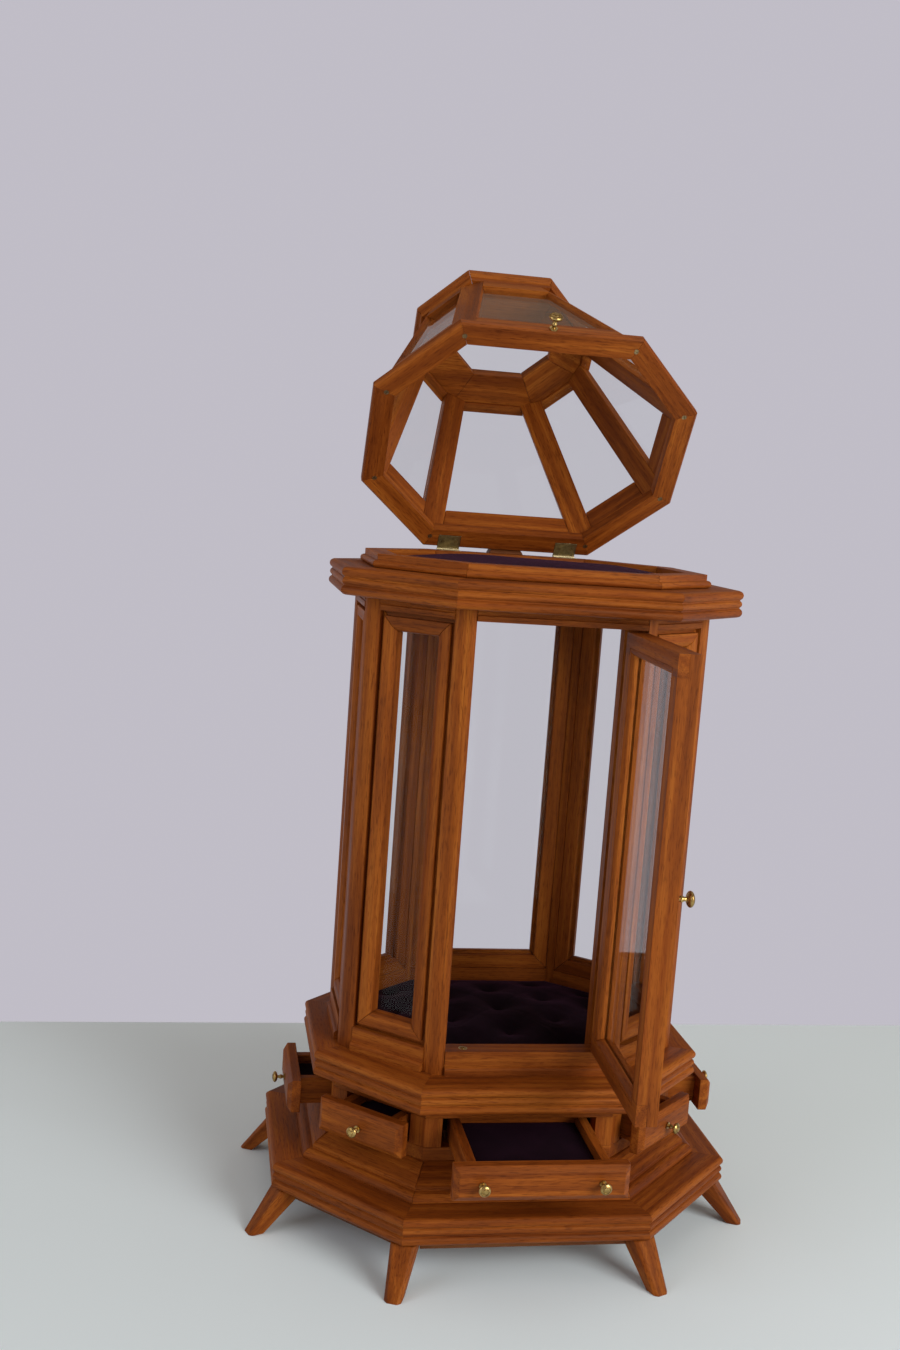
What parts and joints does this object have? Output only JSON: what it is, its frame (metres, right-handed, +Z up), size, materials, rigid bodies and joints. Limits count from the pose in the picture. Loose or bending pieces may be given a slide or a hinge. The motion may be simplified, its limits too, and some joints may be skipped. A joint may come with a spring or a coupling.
{
  "type": "display cabinet",
  "caption": "Octagonal glazed display cabinet on splayed feet, with a glazed door, a hinged glazed lid and a drawer on every side of its base.",
  "frame": {"origin": "on the table that the feet stand on, under the middle of the octagonal plates", "axes": "+Z up, -Y out of the front with the door, +X to the right seen from the front"},
  "size_m": [0.464, 0.5452, 0.8852],
  "materials": {
    "wood": "satin oil",
    "dark_wood": "plain, unseen face",
    "brass": "polished, slightly worn",
    "velvet": "short pile",
    "glass": "clear"
  },
  "bodies": {
    "cabinet": {"feet": "wood", "under_frame": "dark_wood", "bottom_plate": "wood", "plinth": "wood", "case_floor": "wood", "case_posts": "wood", "case_top_rails": "wood", "drawer_guides": "dark_wood", "middle_plate": "wood", "corner_posts": "wood", "body_rails": "wood", "panel_frames": "wood", "side_panes": "glass", "floor_cushion": "velvet", "top_plate": "wood", "top_ring": "wood", "top_pad": "velvet", "lid_stop_block": "dark_wood", "catch_barrel": "brass", "fixed_hinge_leaves": "brass"},
    "door": {"door_stiles": "wood", "door_rails": "wood", "door_beads": "wood", "door_pane": "glass", "door_knob": "brass", "door_hinge_leaves": "brass"},
    "lid": {"lid_base_ring": "wood", "lid_rails": "wood", "lid_ribs": "wood", "lid_top_frame": "wood", "lid_side_panes": "glass", "lid_top_pane": "glass", "lid_knob": "brass", "lid_hinge_leaves": "brass", "lid_screws": "brass"},
    "catch_ball": {"catch_ball": "brass"},
    "front_drawer": {"front_drawer": "wood", "front_drawer_pad": "velvet", "front_drawer_knobs": "brass"},
    "front_right_drawer": {"front_right_drawer": "wood", "front_right_drawer_pad": "velvet", "front_right_drawer_knob": "brass"},
    "right_drawer": {"right_drawer": "wood", "right_drawer_pad": "velvet", "right_drawer_knob": "brass"},
    "back_right_drawer": {"back_right_drawer": "wood", "back_right_drawer_pad": "velvet", "back_right_drawer_knob": "brass"},
    "back_drawer": {"back_drawer": "wood", "back_drawer_pad": "velvet", "back_drawer_knobs": "brass"},
    "back_left_drawer": {"back_left_drawer": "wood", "back_left_drawer_pad": "velvet", "back_left_drawer_knob": "brass"},
    "left_drawer": {"left_drawer": "wood", "left_drawer_pad": "velvet", "left_drawer_knob": "brass"},
    "front_left_drawer": {"front_left_drawer": "wood", "front_left_drawer_pad": "velvet", "front_left_drawer_knob": "brass"}
  },
  "joints": [
    {"name": "door_swing", "type": "hinge", "parent": "cabinet", "child": "door", "pos_m": [0.0775, -0.1156, 0.37], "axis": [0, 0, 1], "range_deg": [-88, 47]},
    {"name": "lid_tilt", "type": "hinge", "parent": "cabinet", "child": "lid", "pos_m": [0, 0.1224, 0.6023], "axis": [-1, 0, 0], "range_deg": [-57, 0]},
    {"name": "catch_travel", "type": "slide", "parent": "cabinet", "child": "catch_ball", "axis": [0, 0, 1], "range_m": [-0.0012, 0], "stiffness_N_per_m": 1000, "springref_m": 0.0012},
    {"name": "front_drawer_slide", "type": "slide", "parent": "cabinet", "child": "front_drawer", "axis": [0, -1, 0], "range_m": [-0.079, 0.006]},
    {"name": "front_right_drawer_slide", "type": "slide", "parent": "cabinet", "child": "front_right_drawer", "axis": [0.6656, -0.7463, 0], "range_m": [-0.016, 0.021]},
    {"name": "right_drawer_slide", "type": "slide", "parent": "cabinet", "child": "right_drawer", "axis": [1, 0, 0], "range_m": [-0.034, 0.035]},
    {"name": "back_right_drawer_slide", "type": "slide", "parent": "cabinet", "child": "back_right_drawer", "axis": [0.6656, 0.7463, 0], "range_m": [0, 0.037]},
    {"name": "back_drawer_slide", "type": "slide", "parent": "cabinet", "child": "back_drawer", "axis": [0, 1, 0], "range_m": [0, 0.085]},
    {"name": "back_left_drawer_slide", "type": "slide", "parent": "cabinet", "child": "back_left_drawer", "axis": [-0.6656, 0.7463, 0], "range_m": [-0.012, 0.025]},
    {"name": "left_drawer_slide", "type": "slide", "parent": "cabinet", "child": "left_drawer", "axis": [-1, 0, 0], "range_m": [-0.028, 0.041]},
    {"name": "front_left_drawer_slide", "type": "slide", "parent": "cabinet", "child": "front_left_drawer", "axis": [-0.6656, -0.7463, 0], "range_m": [-0.018, 0.019]}
  ]
}
